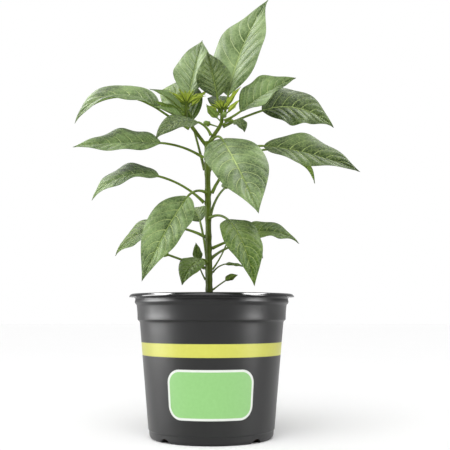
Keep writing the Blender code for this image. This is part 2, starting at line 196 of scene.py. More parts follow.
# Angles round the cup of sepals and the closed bud, from the foot
CUP_ANGLES, BULB_ANGLES = range(10, 96, 10), range(12, 180, 12)

# Growing tips: what carries it, number of leaflets, longest leaflet in millimetres
TIPS = {"growing_tip_left": ("left", 40, 15), "growing_tip_right": ("right", 22, 10)}
TIP_SEED = 100
GOLDEN_ANGLE = 137.5

# Leaf finishes: deep green, light green, vein
LOOKS = {
    "crown": ((0.060, 0.112, 0.024), (0.252, 0.350, 0.150), (0.47, 0.58, 0.25)),
    "upper": ((0.025, 0.056, 0.008), (0.188, 0.280, 0.100), (0.44, 0.55, 0.20)),
    # The shade look is painted shade: a darker copy of the upper finish, for the leaves that are seen in
    # shadow
    "shade": ((0.018, 0.038, 0.005), (0.096, 0.150, 0.040), (0.36, 0.46, 0.15)),
    "lower": ((0.040, 0.088, 0.006), (0.148, 0.232, 0.040), (0.40, 0.51, 0.14)),
    "young": ((0.190, 0.290, 0.015), (0.420, 0.520, 0.060), (0.55, 0.65, 0.15)),
}
UNDERSIDE_LIFT = 1.35

# Camera: place in metres, upward tilt in degrees, lens in millimetres
CAMERA_PLACE = (0.0092, -0.560, 0.0834)
CAMERA_RISE = 6.3
CAMERA_LENS = 64.24

# Light: the world's strength as a light and as a backdrop
WORLD_STRENGTH = 0.50
BACKDROP_STRENGTH = 1.0
# Softboxes: name, place, aim, width and height in metres, power in watts
SOFTBOXES = [
    ("left_softbox", (-1.05, -0.05, 0.40), (0, 0, 0.12), 0.8, 1.3, 52),
    ("right_softbox", (0.90, -0.40, 0.45), (0, 0, 0.12), 0.35, 1.3, 26),
    ("high_left_strip", (-0.50, 0.17, 0.80), (0, 0, 0.10), 0.45, 0.26, 14),
    ("high_right_strip", (0.46, 0.10, 0.84), (0, 0, 0.10), 0.50, 0.26, 14),
]
# Broad overhead light: turn about X and Y in degrees, apparent width in degrees, watts per square metre
OVERHEAD = (38, -9, 60, 2.4)
# Half width of the floor, in millimetres
FLOOR_HALF = 6000


# ---- materials -------------------------------------------------------------------------------

class Nodes:
    """Short ways to add the nodes of one material."""

    def __init__(self, name, roughness, specular):
        self.material = bpy.data.materials.new(name)
        self.material.use_nodes = True
        self.tree = self.material.node_tree
        self.shader = self.tree.nodes["Principled BSDF"]
        self.shader.inputs["Roughness"].default_value = roughness
        self.shader.inputs["Specular IOR Level"].default_value = specular

    def wire(self, value, socket):
        """Links a socket, or sets a constant."""
        if isinstance(value, bpy.types.NodeSocket):
            self.tree.links.new(value, socket)
        else:
            socket.default_value = value

    def math(self, operation, *values, clamp=False):
        node = self.tree.nodes.new("ShaderNodeMath")
        node.operation = operation
        node.use_clamp = clamp
        for value, socket in zip(values, node.inputs):
            self.wire(value, socket)
        return node.outputs[0]

    def ramp_down(self, value, start, end):
        """1 up to start, 0 from end on, smooth between."""
        node = self.tree.nodes.new("ShaderNodeMapRange")
        node.interpolation_type = "SMOOTHSTEP"
        for value_in, socket in zip((value, start, end, 1.0, 0.0), node.inputs):
            self.wire(value_in, socket)
        return node.outputs[0]

    def mix(self, share, low, high):
        """The low colour at share 0, the high one at share 1."""
        node = self.tree.nodes.new("ShaderNodeMix")
        node.data_type = "RGBA"
        self.wire(share, node.inputs["Factor"])
        for value, socket in ((low, node.inputs[6]), (high, node.inputs[7])):
            self.wire((*value, 1.0) if isinstance(value, tuple) else value, socket)
        return node.outputs[2]

    def place(self, stretch=(1, 1, 1)):
        """Object coordinates, scaled by stretch."""
        coordinate = self.tree.nodes.new("ShaderNodeTexCoord")
        mapping = self.tree.nodes.new("ShaderNodeMapping")
        mapping.inputs["Scale"].default_value = stretch
        self.tree.links.new(coordinate.outputs["Object"], mapping.inputs["Vector"])
        return mapping.outputs[0]

    def split(self, vector):
        node = self.tree.nodes.new("ShaderNodeSeparateXYZ")
        self.tree.links.new(vector, node.inputs[0])
        return node.outputs

    def noise(self, vector, scale, detail=3.0, roughness=0.55):
        node = self.tree.nodes.new("ShaderNodeTexNoise")
        self.tree.links.new(vector, node.inputs["Vector"])
        node.inputs["Scale"].default_value = scale
        node.inputs["Detail"].default_value = detail
        node.inputs["Roughness"].default_value = roughness
        return node.outputs["Fac"]

    def cells(self, vector, scale, feature="DISTANCE_TO_EDGE"):
        node = self.tree.nodes.new("ShaderNodeTexVoronoi")
        node.feature = feature
        self.tree.links.new(vector, node.inputs["Vector"])
        node.inputs["Scale"].default_value = scale
        return node.outputs["Distance"]

    def finish(self, color, height=None, depth=0.0002, strength=0.6, roughness=None):
        """Connects the colour and, where given, the bump height and the roughness."""
        self.wire(color, self.shader.inputs["Base Color"])
        if roughness is not None:
            self.wire(roughness, self.shader.inputs["Roughness"])
        if height is not None:
            bump = self.tree.nodes.new("ShaderNodeBump")
            bump.inputs["Strength"].default_value = strength
            bump.inputs["Distance"].default_value = depth
            self.wire(height, bump.inputs["Height"])
            self.tree.links.new(bump.outputs[0], self.shader.inputs["Normal"])
        return self.material


def vein_masks(nodes):
    """(main vein, side veins, fine net, gap to the nearest side vein) of a blade, from its UV map."""
    uv = nodes.tree.nodes.new("ShaderNodeUVMap")
    uv.uv_map = BLADE_UV
    across_uv, along, _ = nodes.split(uv.outputs[0])
    signed = nodes.math("MULTIPLY_ADD", across_uv, 2.0, -1.0)
    across = nodes.math("ABSOLUTE", signed)
    base_swell = nodes.math("POWER", nodes.math("SUBTRACT", 1.0, along, clamp=True), 4.0)
    main_width = nodes.math("MULTIPLY_ADD", base_swell, 0.035, 0.021)
    main = nodes.ramp_down(nodes.math("DIVIDE", across, main_width), 0.35, 1.4)
    sweep = nodes.math("MULTIPLY", nodes.math("POWER", across, VEIN_CURVE), VEIN_SWEEP)
    wobble = nodes.math("MULTIPLY", nodes.noise(nodes.place(), 90.0, 2.0), 0.03)
    back = nodes.math("ADD", sweep, wobble)
    side_shift = nodes.math("MULTIPLY", nodes.math("GREATER_THAN", signed, 0.0), 0.5)
    phase = nodes.math("MULTIPLY_ADD", nodes.math("SUBTRACT", along, back), SIDE_VEINS, side_shift)
    gap = nodes.math("ABSOLUTE", nodes.math("SUBTRACT", nodes.math("FRACT", phase), 0.5))
    distance = nodes.math("SUBTRACT", 0.5, gap)
    side_width = nodes.math("MULTIPLY_ADD", across, -0.045, 0.065)
    side = nodes.ramp_down(nodes.math("DIVIDE", distance, side_width), 0.1, 1.2)
    side = nodes.math("MULTIPLY", side, nodes.ramp_down(across, 0.55, 1.0))
    net = nodes.ramp_down(nodes.cells(nodes.place(), 420.0), 0.0, 0.10)
    return main, side, net, distance


def leaf_color(nodes, look, under, veins, patches, speckle):
    """Green that varies in patches and speckles, with a painted highlight on the bulges between the side
    veins, and pale veins.
    """
    deep, light, vein = LOOKS[look]
    if under:
        deep, light, vein = (tuple(c * UNDERSIDE_LIFT for c in color) for color in (light, light, vein))
    main, side, net, gap = veins
    lightness = nodes.math("MULTIPLY_ADD", patches, 3.4, -1.42)
    lightness = nodes.math("ADD", lightness, nodes.math("MULTIPLY_ADD", speckle, 1.0, -0.5))
    # Painted highlight: lighter midway between the side veins, where the blade bulges up
    lightness = nodes.math("ADD", lightness, nodes.math("MULTIPLY", gap, 0.55), clamp=True)
    color = nodes.mix(lightness, deep, light)
    for mask, share in ((net, 0.28), (side, 0.92), (main, 0.92)):
        color = nodes.mix(nodes.math("MULTIPLY", mask, share), color, vein)
    return color


def leaf_relief(nodes, veins, speckle, raised):
    """Bump height of the veins: raised is 1 where they stand proud and -1 where they are sunk."""
    main, side, net, gap = veins
    ribs = nodes.math("MAXIMUM", nodes.math("MULTIPLY", side, 0.8), main)
    ribs = nodes.math("MAXIMUM", ribs, nodes.math("MULTIPLY", net, 0.04))
    height = nodes.math("MULTIPLY_ADD", ribs, raised * 0.6, nodes.math("MULTIPLY", speckle, 0.03))
    return nodes.math("MULTIPLY_ADD", gap, -0.5 * raised, height)


def leaf_material(look, under=False):
    """A blade's face, with sunk veins, or its paler underside, where they stand proud."""
    side_name = "underside" if under else "face"
    nodes = Nodes(f"{look}_leaf_{side_name}", 0.5, specular=0.12)
    veins = vein_masks(nodes)
    place = nodes.place()
    patches = nodes.noise(place, 42.0, 4.0)
    speckle = nodes.noise(place, 320.0, 5.0, 0.7)
    color = leaf_color(nodes, look, under, veins, patches, speckle)
    height = leaf_relief(nodes, veins, speckle, 1.0 if under else -1.0)
    roughness = nodes.math("MULTIPLY_ADD", speckle, 0.25, 0.55 if under else 0.46)
    return nodes.finish(color, height, depth=0.0007, strength=0.8, roughness=roughness)


def woody_material(name):
    """Streaked green skin with brown patches, for stem, stalks and buds."""
    green, brown, brown_share = WOODS[name]
    nodes = Nodes(name, 0.5, specular=0.06)
    streaks = nodes.noise(nodes.place((1, 1, 0.12)), 700.0, 4.0)
    patches = nodes.noise(nodes.place((1, 1, 0.5)), 120.0, 3.0)
    share = nodes.math("MULTIPLY_ADD", patches, 2.6, brown_share - 1.45, clamp=True)
    base = nodes.mix(streaks, green, tuple(channel * 1.7 for channel in green))
    color = nodes.mix(share, base, brown)
    roughness = nodes.math("MULTIPLY_ADD", streaks, 0.3, 0.35)
    return nodes.finish(color, streaks, depth=0.0002, strength=0.5, roughness=roughness)


def band_mask(nodes, z, outside):
    """1 on the pale band round the pot."""
    low = nodes.math("GREATER_THAN", z, STRIPE_BOTTOM * MM)
    high = nodes.math("LESS_THAN", z, STRIPE_TOP * MM)
    return nodes.math("MULTIPLY", nodes.math("MULTIPLY", low, high), outside)


def panel_masks(nodes, x, y, z, outside):
    """(whole panel, field inside its border) on the front of the pot, with rounded corners."""
    middle, half_width, half_height, corner, border = (size * MM for size in PANEL)
    forward = nodes.math("MULTIPLY", y, -1.0)
    arc = nodes.math("MULTIPLY", nodes.math("ARCTAN2", x, forward), PANEL_RADIUS * MM)
    rise = nodes.math("SUBTRACT", z, middle)
    off_x = nodes.math("SUBTRACT", nodes.math("ABSOLUTE", arc), half_width - corner)
    off_z = nodes.math("SUBTRACT", nodes.math("ABSOLUTE", rise), half_height - corner)
    off_x = nodes.math("MAXIMUM", off_x, 0.0)
    off_z = nodes.math("MAXIMUM", off_z, 0.0)
    square = nodes.math("MULTIPLY_ADD", off_x, off_x, nodes.math("MULTIPLY", off_z, off_z))
    reach = nodes.math("SQRT", square)
    return [
        nodes.math("MULTIPLY", nodes.math("LESS_THAN", reach, limit), outside)
        for limit in (corner, corner - border)
    ]


def pot_material():
    """Black plastic with a pale band round it and a blank rounded panel printed on the front."""
    nodes = Nodes("black_moulded_plastic", 0.24, specular=0.38)
    place = nodes.place()
    x, y, z = nodes.split(place)
    grain = nodes.noise(place, 1800.0, 2.0)
    haze = nodes.noise(place, 35.0, 3.0)
    ink = nodes.noise(place, 500.0, 2.0)
    outside = nodes.math("GREATER_THAN", outer_distance(nodes, x, y, z), -PRINT_DEPTH * MM)
    panel, field = panel_masks(nodes, x, y, z, outside)
    color = nodes.mix(haze, *PLASTIC)
    color = nodes.mix(band_mask(nodes, z, outside), color, nodes.mix(ink, *BAND_INK))
    color = nodes.mix(panel, color, BORDER_INK)
    color = nodes.mix(field, color, nodes.mix(ink, *FIELD_INK))
    lip = nodes.math("GREATER_THAN", z, COLLAR_TOP * MM)
    wall_roughness = nodes.math("MULTIPLY_ADD", haze, 0.14, 0.29)
    roughness = nodes.math("MULTIPLY_ADD", lip, -0.21, wall_roughness)
    return nodes.finish(color, grain, depth=0.00006, strength=0.35, roughness=roughness)


def outer_distance(nodes, x, y, z):
    """How far a point is outside the pot's outer wall, taken as a plain cone."""
    radius = nodes.math("SQRT", nodes.math("MULTIPLY_ADD", x, x, nodes.math("MULTIPLY", y, y)))
    taper = (STRIPE_TOP_RADIUS - FOOT_RADIUS) / (STRIPE_TOP - FOOT_HEIGHT)
    start = (FOOT_RADIUS - taper * FOOT_HEIGHT) * MM
    return nodes.math("SUBTRACT", radius, nodes.math("MULTIPLY_ADD", z, taper, start))


def soil_material(name):
    """Matte grainy finish, for the potting mix and for what lies on it."""
    dark, light, scale = SOILS[name]
    nodes = Nodes(name, 0.9, specular=0.25)
    place = nodes.place()
    grain = nodes.noise(place, scale, 6.0, 0.7)
    clods = nodes.cells(place, scale * 0.6, "F1")
    color = nodes.mix(nodes.math("MULTIPLY_ADD", grain, 1.8, -0.4, clamp=True), dark, light)
    height = nodes.math("ADD", grain, clods)
    roughness = nodes.math("MULTIPLY_ADD", grain, 0.25, 0.7)
    return nodes.finish(color, height, depth=0.0008, strength=0.9, roughness=roughness)


def stage_material():
    """Nearly white floor with a trace of unevenness."""
    nodes = Nodes("pale_studio_floor", 0.75, specular=0.2)
    grain = nodes.noise(nodes.place(), 6.0, 3.0)
    color = nodes.mix(grain, (0.92, 0.92, 0.92), (0.94, 0.94, 0.94))
    return nodes.finish(color)


# ---- mesh helpers ----------------------------------------------------------------------------

def to_object(bm, name, materials, sharp=50):
    """Turns a bmesh in millimetres into a smooth object in metres at the origin."""
    bmesh.ops.scale(bm, vec=(MM, MM, MM), verts=bm.verts)
    mesh = bpy.data.meshes.new(name)
    bm.to_mesh(mesh)
    bm.free()
    mesh.shade_smooth()
    mesh.set_sharp_from_angle(angle=math.radians(sharp))
    for material in materials:
        mesh.materials.append(material)
    obj = bpy.data.objects.new(name, mesh)
    bpy.context.scene.collection.objects.link(obj)
    return obj


def keep(obj, slot, *nodes):
    """Ties a finished piece to the frame."""
    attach(obj, "root")
    if nodes:
        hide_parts(*nodes)


def turned(profile, steps=POT_STEPS):
    """A closed solid of revolution about Z from a profile of (radius, height) that ends on the axis."""
    bm = bmesh.new()
    verts = [bm.verts.new((radius, 0, height)) for radius, height in profile]
    edges = [bm.edges.new(pair) for pair in zip(verts, verts[1:])]
    bmesh.ops.spin(
        bm, geom=verts + edges, cent=(0, 0, 0), axis=(0, 0, 1),
        angle=math.tau, steps=steps, use_merge=True,
    )
    bmesh.ops.remove_doubles(bm, verts=bm.verts, dist=0.001)
    bmesh.ops.recalc_face_normals(bm, faces=bm.faces)
    return bm


def apply_modifiers(obj):
    """Replaces an object's mesh with the one that its modifiers make."""
    graph = bpy.context.evaluated_depsgraph_get()
    mesh = bpy.data.meshes.new_from_object(obj.evaluated_get(graph))
    obj.modifiers.clear()
    obj.data = mesh


def frame_at(heading, slope, roll=0.0):
    """Forward, side and normal of a stalk or a midrib that points this way."""
    forward = Vector((
        math.cos(slope) * math.cos(heading),
        math.cos(slope) * math.sin(heading),
        math.sin(slope),
    ))
    flat_side = Vector((math.sin(heading), -math.cos(heading), 0))
    flat_normal = flat_side.cross(forward)
    side = flat_side * math.cos(roll) + flat_normal * math.sin(roll)
    return forward, side, side.cross(forward)


def tube(bm, stations, sides, slot=0, ribs=0, rib_depth=0.0):
    """A closed tube through stations of (point, side, up, radius), with ribs along it where asked."""
    before = set(bm.faces)
    start = bmesh.ops.create_circle(bm, cap_ends=True, segments=sides, radius=1.0)["verts"]
    face = start[0].link_faces[0]
    open_edges = list(face.edges)
    for number, (point, side, up, radius) in enumerate(stations):
        if number:
            face = bmesh.ops.extrude_discrete_faces(bm, faces=[face])["faces"][0]
        for index, vert in enumerate(face.verts):
            angle = math.tau * index / sides
            size = radius * (1 + rib_depth * math.cos(ribs * angle))
            vert.co = point + side * (math.cos(angle) * size) + up * (math.sin(angle) * size)
    bmesh.ops.holes_fill(bm, edges=open_edges, sides=0)
    made = [face for face in bm.faces if face not in before]
    for face in made:
        face.material_index = slot
    bmesh.ops.recalc_face_normals(bm, faces=made)


def followed(points, radii):
    """Stations along points, each with a side that turns no more than the path does."""
    stations = []
    side = None
    for number, (point, radius) in enumerate(zip(points, radii)):
        ahead = points[min(number + 1, len(points) - 1)]
        behind = points[max(number - 1, 0)]
        forward = (ahead - behind).normalized()
        if side is None:
            side = forward.orthogonal()
        side = (side - forward * side.dot(forward)).normalized()
        stations.append((point, side, forward.cross(side), radius))
    return stations


def at_height(path, height):
    """(point, radius, direction) of a path at a height, held at its ends."""
    for lower, upper in zip(path, path[1:]):
        if height <= upper[2]:
            break
    part = min(1.0, max(0.0, (height - lower[2]) / (upper[2] - lower[2])))
    mixed = [a + part * (b - a) for a, b in zip(lower, upper)]
    direction = (Vector(upper[:3]) - Vector(lower[:3])).normalized()
    return Vector(mixed[:3]), mixed[3], direction


def stalk_start(item, heading, rise, radius):
    """Where a stalk meets the surface of what carries it."""
    point, carrier_radius, carrier_way = at_height(PATHS[item.on], item.height)
    outward = Vector((math.cos(heading), math.sin(heading), 0))
    forward = frame_at(heading, rise)[0]
    clearance = carrier_radius + TOUCH + radius * abs(forward.dot(carrier_way))
    return point + outward * (clearance / outward.cross(carrier_way).length)


# ---- leaves ----------------------------------------------------------------------------------

def blade_share(along, look):
    """Half width at a place along the blade, as a share of the widest."""
    near = SHARPNESS[look] * WIDEST_AT
    far = SHARPNESS[look] - near
    peak = WIDEST_AT**near * (1 - WIDEST_AT) ** far
    return along**near * (1 - along) ** far / peak


def vein_gap(across, along):
    """How far a place is from the nearest side vein: 0 on it, 1 midway between two."""
    shift = 0.5 if across > 0 else 0.0
    phase = (along - VEIN_SWEEP * abs(across) ** VEIN_CURVE) * SIDE_VEINS + shift
    return 1 - 2 * abs(phase % 1.0 - 0.5)


def spine(leaf, build):
    """Stalk frames and midrib frames, each a list of (point, side, normal)."""
    heading, rise = math.radians(leaf.heading), math.radians(leaf.rise)
    pitch, droop, roll = (math.radians(turn) for turn in (leaf.pitch, leaf.droop, leaf.roll))
    point = stalk_start(leaf, heading, rise, build.start)
    stalk, blade = [], []
    for step in range(build.stalk_steps):
        share = (step + 0.5) / build.stalk_steps
        slope = rise + (pitch - rise) * (share - build.stalk_lag)
        forward, side, normal = frame_at(heading, slope, roll * share)
        stalk.append((point, side, normal))
        point = point + forward * (leaf.stalk / build.stalk_steps)
    for step in range(build.blade_steps + 1):
        share = (step + 0.5) / build.blade_steps - build.blade_lag
        forward, side, normal = frame_at(heading, pitch + (droop - pitch) * share, roll)
        blade.append((point, side, normal))
        point = point + forward * (leaf.blade / build.blade_steps)
    return stalk, blade


def blade_lift(leaf, across, along, waves):
    """Height of the blade over its flat self: fold, arch, quilting between veins, wavy margin."""
    half = leaf.width / 2 * blade_share(along, leaf.look)
    reach = abs(across)
    fold = half * reach * math.sin(math.radians(leaf.fold))
    arch = half * ARCH * 4 * reach * (1 - reach)
    groove = -GROOVE * math.exp(-((half * reach / GROOVE_WIDTH) ** 2))
    quilt = QUILT * leaf.width * math.sin(vein_gap(across, along) * math.pi / 2)
    quilt *= min(1.0, reach * 5) * (1 - reach**4) * math.sin(math.pi * along) ** 0.5
    wave_count, phase, size = waves[across > 0]
    wave = size * half * reach**2.5 * math.sin(math.tau * wave_count * along + phase)
    return fold + arch + groove + quilt + wave


def leaf_waves(rng):
    """(count, phase, size) of the margin's waves on each half."""
    return [
        (rng.uniform(*WAVE_COUNTS), rng.uniform(0, math.tau), rng.uniform(*WAVE_SIZES))
        for _ in range(2)
    ]


def bent_sheet(bm, leaf, stations, columns, waves):
    """A flat grid bent to the blade's shape, its ends drawn to points. Returns its faces."""
    rows = len(stations) - 1
    verts = bmesh.ops.create_grid(
        bm, x_segments=columns, y_segments=rows, size=1.0, calc_uvs=True,
    )["verts"]
    ends = {0: [], rows: []}
    for vert in verts:
        across, along = vert.co.x, (vert.co.y + 1) / 2
        row = round(along * rows)
        point, side, normal = stations[row]
        half = max(TIP_HALF, leaf.width / 2 * blade_share(along, leaf.look))
        flat = half * across * math.cos(math.radians(leaf.fold))
        vert.co = point + side * flat + normal * blade_lift(leaf, across, along, waves)
        if row in ends:
            ends[row].append(vert)
    sheet = list({face for vert in verts for face in vert.link_faces})
    for row in ends.values():
        bmesh.ops.pointmerge(bm, verts=row, merge_co=row[len(row) // 2].co)
    return [face for face in sheet if face.is_valid]


def add_blade(bm, leaf, stations, build, rng):
    """The blade: a bent sheet that faces up, given its thickness and a paler underside."""
    sheet = bent_sheet(bm, leaf, stations, build.columns, leaf_waves(rng))
    bmesh.ops.recalc_face_normals(bm, faces=sheet)
    bm.normal_update()
    facing = sum((face.normal for face in sheet), Vector())
    if facing.dot(stations[len(stations) // 2][2]) < 0:
        bmesh.ops.reverse_faces(bm, faces=sheet)
        bm.normal_update()
    lower = {vert for face in sheet for vert in face.verts}
    normals = {vert: vert.normal.copy() for vert in lower}
    for vert, normal in normals.items():
        vert.co -= normal * (BLADE_THICKNESS / 2)
    grown = bmesh.ops.extrude_face_region(bm, geom=sheet)["geom"]
    upper = [item for item in grown if isinstance(item, bmesh.types.BMVert)]
    bm.normal_update()
    for vert in upper:
        vert.co += vert.normal * BLADE_THICKNESS
    for face in sheet:
        face.material_index = 1


def add_stalk(bm, stalk, blade, build):
    """The stalk, which runs on under the blade as a tapering midrib."""
    stations = []
    for number, (point, side, normal) in enumerate(stalk):
        share = number / len(stalk)
        radius = build.thin + (build.foot - build.thin) * (1 - share) ** 4
        stations.append((point, side, normal, radius))
    for number, (point, side, normal) in enumerate(blade):
        share = number / len(blade)
        radius = build.thin * (1 - share) ** 1.4 * 0.9 + 0.05
        drop = min(1.0, share * 8) * (radius + MIDRIB_DEPTH)
        if share <= MIDRIB_END:
            stations.append((point - normal * drop, side, normal, radius))
    tube(bm, stations, build.sides, slot=2)


def make_leaf(node, leaf, materials, seed):
    """One leaf, blade and stalk together, in place of its node."""
    build = FULL_BUILD if leaf.blade >= FULL_LEAF else SMALL_BUILD
    rng = random.Random(seed)
    stalk, blade = spine(leaf, build)
    bm = bmesh.new()
    bm.loops.layers.uv.new(BLADE_UV)
    add_blade(bm, leaf, blade, build, rng)
    add_stalk(bm, stalk, blade, build)
    slot = "young_leaf" if node in YOUNG_NODES else "leaf"
    keep(to_object(bm, f"{node}_grown", materials, sharp=80), slot, node)


def make_leaves(stalk_finish):
    """All the leaves; returns the finishes of face, underside and stalk for each look."""
    finishes = {
        look: [leaf_material(look), leaf_material(look, under=True), stalk_finish] for look in LOOKS
    }
    for seed, (node, leaf) in enumerate(LEAVES.items()):
        make_leaf(node, leaf, finishes[leaf.look], seed)
    return finishes


# ---- woody parts, buds and tips --------------------------------------------------------------

def path_points(path, step):
    """Points and radii along a path, at most step apart."""
    points, radii = [], []
    for lower, upper in zip(path, path[1:]):
        start, end = Vector(lower[:3]), Vector(upper[:3])
        count = max(1, round((end - start).length / step))
        for number in range(count):
            share = number / count
            points.append(start.lerp(end, share))
            radii.append(lower[3] + share * (upper[3] - lower[3]))
    points.append(Vector(path[-1][:3]))
    radii.append(path[-1][3])
    return points, radii


def softened(points, rounds):
    """The points with their corners eased, ends kept."""
    for _ in range(rounds):
        middle = [(a + b * 2 + c) / 4 for a, b, c in zip(points, points[1:], points[2:])]
        points = [points[0], *middle, points[-1]]
    return points


def joint_swelling(path_name, height):
    """How much thicker a woody part is near the stalks it carries."""
    carried = [item.height for item in (*LEAVES.values(), *BUDS.values()) if item.on == path_name]
    bumps = (math.exp(-(((height - place) / JOINT_REACH) ** 2)) for place in carried)
    return 1 + JOINT_SWELL * min(1.0, sum(bumps)) * (0.5 if path_name != "stem" else 1.0)


def make_stem(finish):
    """Stem and both branches, fused, ribbed, and swollen where stalks leave them."""
    bm = bmesh.new()
    for name, path in PATHS.items():
        points, radii = path_points(path, STEM_STEP)
        points = softened(points, 6)
        radii = [radius * joint_swelling(name, point.z) for point, radius in zip(points, radii)]
        tube(bm, followed(points, radii), STEM_SIDES, ribs=5, rib_depth=0.05)
    for leaf in LEAVES.values():
        if leaf.on == "stem":
            add_cushion(bm, leaf)
    obj = to_object(bm, "stem_and_branches", [finish])
    remesh = obj.modifiers.new("fused", "REMESH")
    remesh.mode = "VOXEL"
    remesh.voxel_size = STEM_VOXEL * MM
    smooth = obj.modifiers.new("eased", "SMOOTH")
    smooth.factor = 0.5
    smooth.iterations = 3
    apply_modifiers(obj)
    obj.data.shade_smooth()
    obj.data.materials.clear()
    obj.data.materials.append(finish)
    keep(obj, "stem", "stem")


def add_cushion(bm, leaf):
    """The small swollen cushion of stem under the foot of a stalk."""
    heading = math.radians(leaf.heading)
    point, radius, _ = at_height(STEM_PATH, leaf.height)
    outward = Vector((math.cos(heading), math.sin(heading), 0))
    place = Matrix.Translation(point + outward * radius * 0.75 + Vector((0, 0, -0.5)))
    shape = Matrix.Diagonal((1.25, 1.25, 1.7, 1.0))
    bmesh.ops.create_icosphere(bm, subdivisions=2, radius=1.0, matrix=place @ shape)


def make_bud(node, bud, stalk_finish, bud_finish):
    """A thin stalk, a ribbed cup of sepals and the closed, pleated bud in it."""
    heading, rise = math.radians(bud.heading), math.radians(bud.rise)
    start = stalk_start(bud, heading, rise, BUD_STALK_RADIUS)
    forward, side, normal = frame_at(heading, rise)
    stalk = []
    for part in range(BUD_STALK_STEPS + 1):
        share = part / BUD_STALK_STEPS
        radius = BUD_STALK_RADIUS + 0.2 * share**3
        stalk.append((start + forward * (bud.stalk * share), side, normal, radius))
    cup = []
    for angle in CUP_ANGLES:
        turn = math.radians(angle)
        place = start + forward * (bud.stalk - 0.3 + bud.length * 0.36 * (1 - math.cos(turn)))
        cup.append((place, side, normal, bud.radius * 1.12 * math.sin(turn)))
    bulb = []
    for angle in BULB_ANGLES:
        turn = math.radians(angle)
        place = start + forward * (bud.stalk + bud.length / 2 * (1 - math.cos(turn)))
        bulb.append((place, side, normal, bud.radius * math.sin(turn)))
    bm = bmesh.new()
    tube(bm, stalk, 10)
    tube(bm, cup, 30, ribs=5, rib_depth=0.07)
    tube(bm, bulb, 30, slot=1, ribs=6, rib_depth=0.05)
    keep(to_object(bm, f"{node}_grown", [stalk_finish, bud_finish]), "young_leaf", node)


def tip_leaflet(path_name, height, number, share, longest, rng):
    """One leaflet of a growing tip: share runs from 0, short and upright, to 1, long and spread."""
    pitch = 80 - 55 * share
    return Leaf(
        on=path_name,
        height=height,
        heading=number * GOLDEN_ANGLE + rng.uniform(-12, 12),
        stalk=1.2,
        rise=pitch,
        blade=longest * (0.45 + 0.55 * share) * rng.uniform(0.85, 1.1),
        width=longest * 0.19 * (0.7 + 0.3 * share),
        pitch=pitch,
        droop=75 - 70 * share,
        roll=rng.uniform(-15, 15),
        fold=30,
        look="young",
    )


def make_tip(node, path_name, count, longest, materials, seed):
    """A growing tip: a rosette of small folded leaflets, the inner ones short and upright."""
    rng = random.Random(seed)
    bm = bmesh.new()
    bm.loops.layers.uv.new(BLADE_UV)
    foot = Vector(PATHS[path_name][-1][:3])
    for number in range(count):
        share = number / (count - 1)
        leaflet = tip_leaflet(path_name, foot.z, number, share, longest, rng)
        stalk, blade = leaflet_spine(leaflet, foot + Vector((0, 0, 1.5 * (1 - share))))
        add_blade(bm, leaflet, blade, TIP_BUILD, rng)
        add_stalk(bm, stalk, blade, TIP_BUILD)
    keep(to_object(bm, f"{node}_grown", materials, sharp=80), "young_leaf", node)


def leaflet_spine(leaflet, foot):
    """A leaflet's stalk and midrib frames, from a foot inside the tip."""
    heading, pitch = math.radians(leaflet.heading), math.radians(leaflet.pitch)
    droop, roll = math.radians(leaflet.droop), math.radians(leaflet.roll)
    stalk_steps, blade_steps = TIP_BUILD.stalk_steps, TIP_BUILD.blade_steps
    point = foot
    stalk, blade = [], []
    for _ in range(stalk_steps):
        forward, side, normal = frame_at(heading, pitch, roll)
        stalk.append((point, side, normal))
        point = point + forward * (leaflet.stalk / stalk_steps)
    for step in range(blade_steps + 1):
        forward, side, normal = frame_at(heading, pitch + (droop - pitch) * step / blade_steps, roll)
        blade.append((point, side, normal))
        point = point + forward * (leaflet.blade / blade_steps)
    return stalk, blade


# ---- pot and soil ----------------------------------------------------------------------------

def eased(corners, steps=5):
    """A profile whose corners of (radius, height, ease) are rounded by ease millimetres."""
    points = [corners[0][:2]]
    for before, corner, after in zip(corners, corners[1:], corners[2:]):
        here = Vector(corner[:2])
        back, ahead = Vector(before[:2]) - here, Vector(after[:2]) - here
        reach = min(corner[2], back.length * 0.48, ahead.length * 0.48)
        start, end = here + back.normalized() * reach, here + ahead.normalized() * reach
        for number in range(steps + 1):
            share = number / steps
            point = start.lerp(here, share).lerp(here.lerp(end, share), share)
            points.append(tuple(point))
    points.append(corners[-1][:2])
    return points


